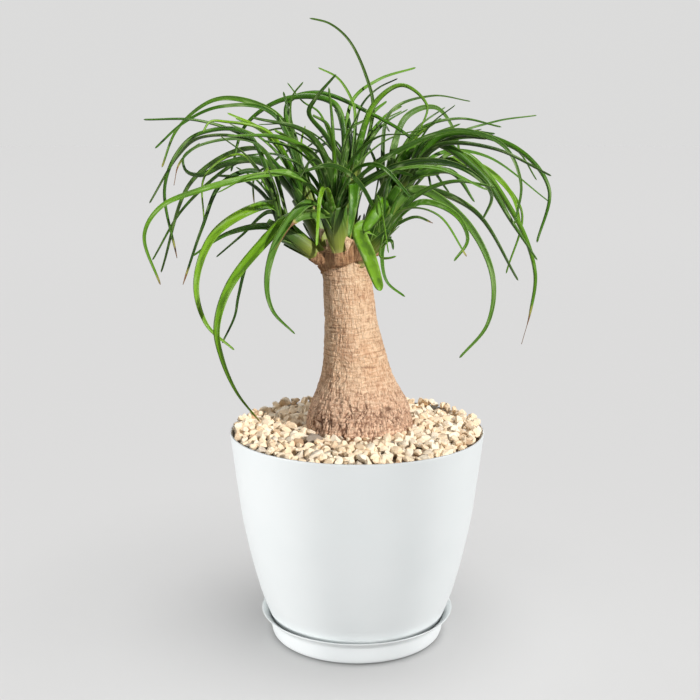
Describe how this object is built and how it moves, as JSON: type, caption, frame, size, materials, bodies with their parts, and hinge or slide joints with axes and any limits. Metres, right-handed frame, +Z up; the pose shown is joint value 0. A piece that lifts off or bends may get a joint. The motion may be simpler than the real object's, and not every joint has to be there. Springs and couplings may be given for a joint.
{
  "type": "potted ponytail palm",
  "caption": "Ponytail palm with a swollen trunk and several heads of long arching leaves, in a tapered plastic pot with gravel, standing in a saucer.",
  "frame": {"origin": "middle of the saucer's underside, on the pot's axis", "axes": "+Z up, +X to the viewer's right and -Y towards the viewer of the picture"},
  "size_m": [0.4288, 0.3483, 0.6154],
  "materials": {
    "saucer": "smooth white plastic with a slight sheen",
    "pot": "smooth satin white plastic",
    "soil": "dark loose potting soil",
    "gravel": "cream and beige angular gravel",
    "trunk": "peach-tan bark, finely ringed above and cracked below",
    "leaves": "smooth mid-green leaves with a waxy sheen"
  },
  "bodies": {
    "root": {"saucer": "saucer", "pot": "pot", "soil": "soil", "gravel": "gravel", "trunk": "trunk", "head_front": "leaves", "head_left": "leaves", "head_back_left": "leaves", "head_back": "leaves", "head_back_right": "leaves", "head_right": "leaves", "head_low": "leaves"}
  },
  "joints": []
}
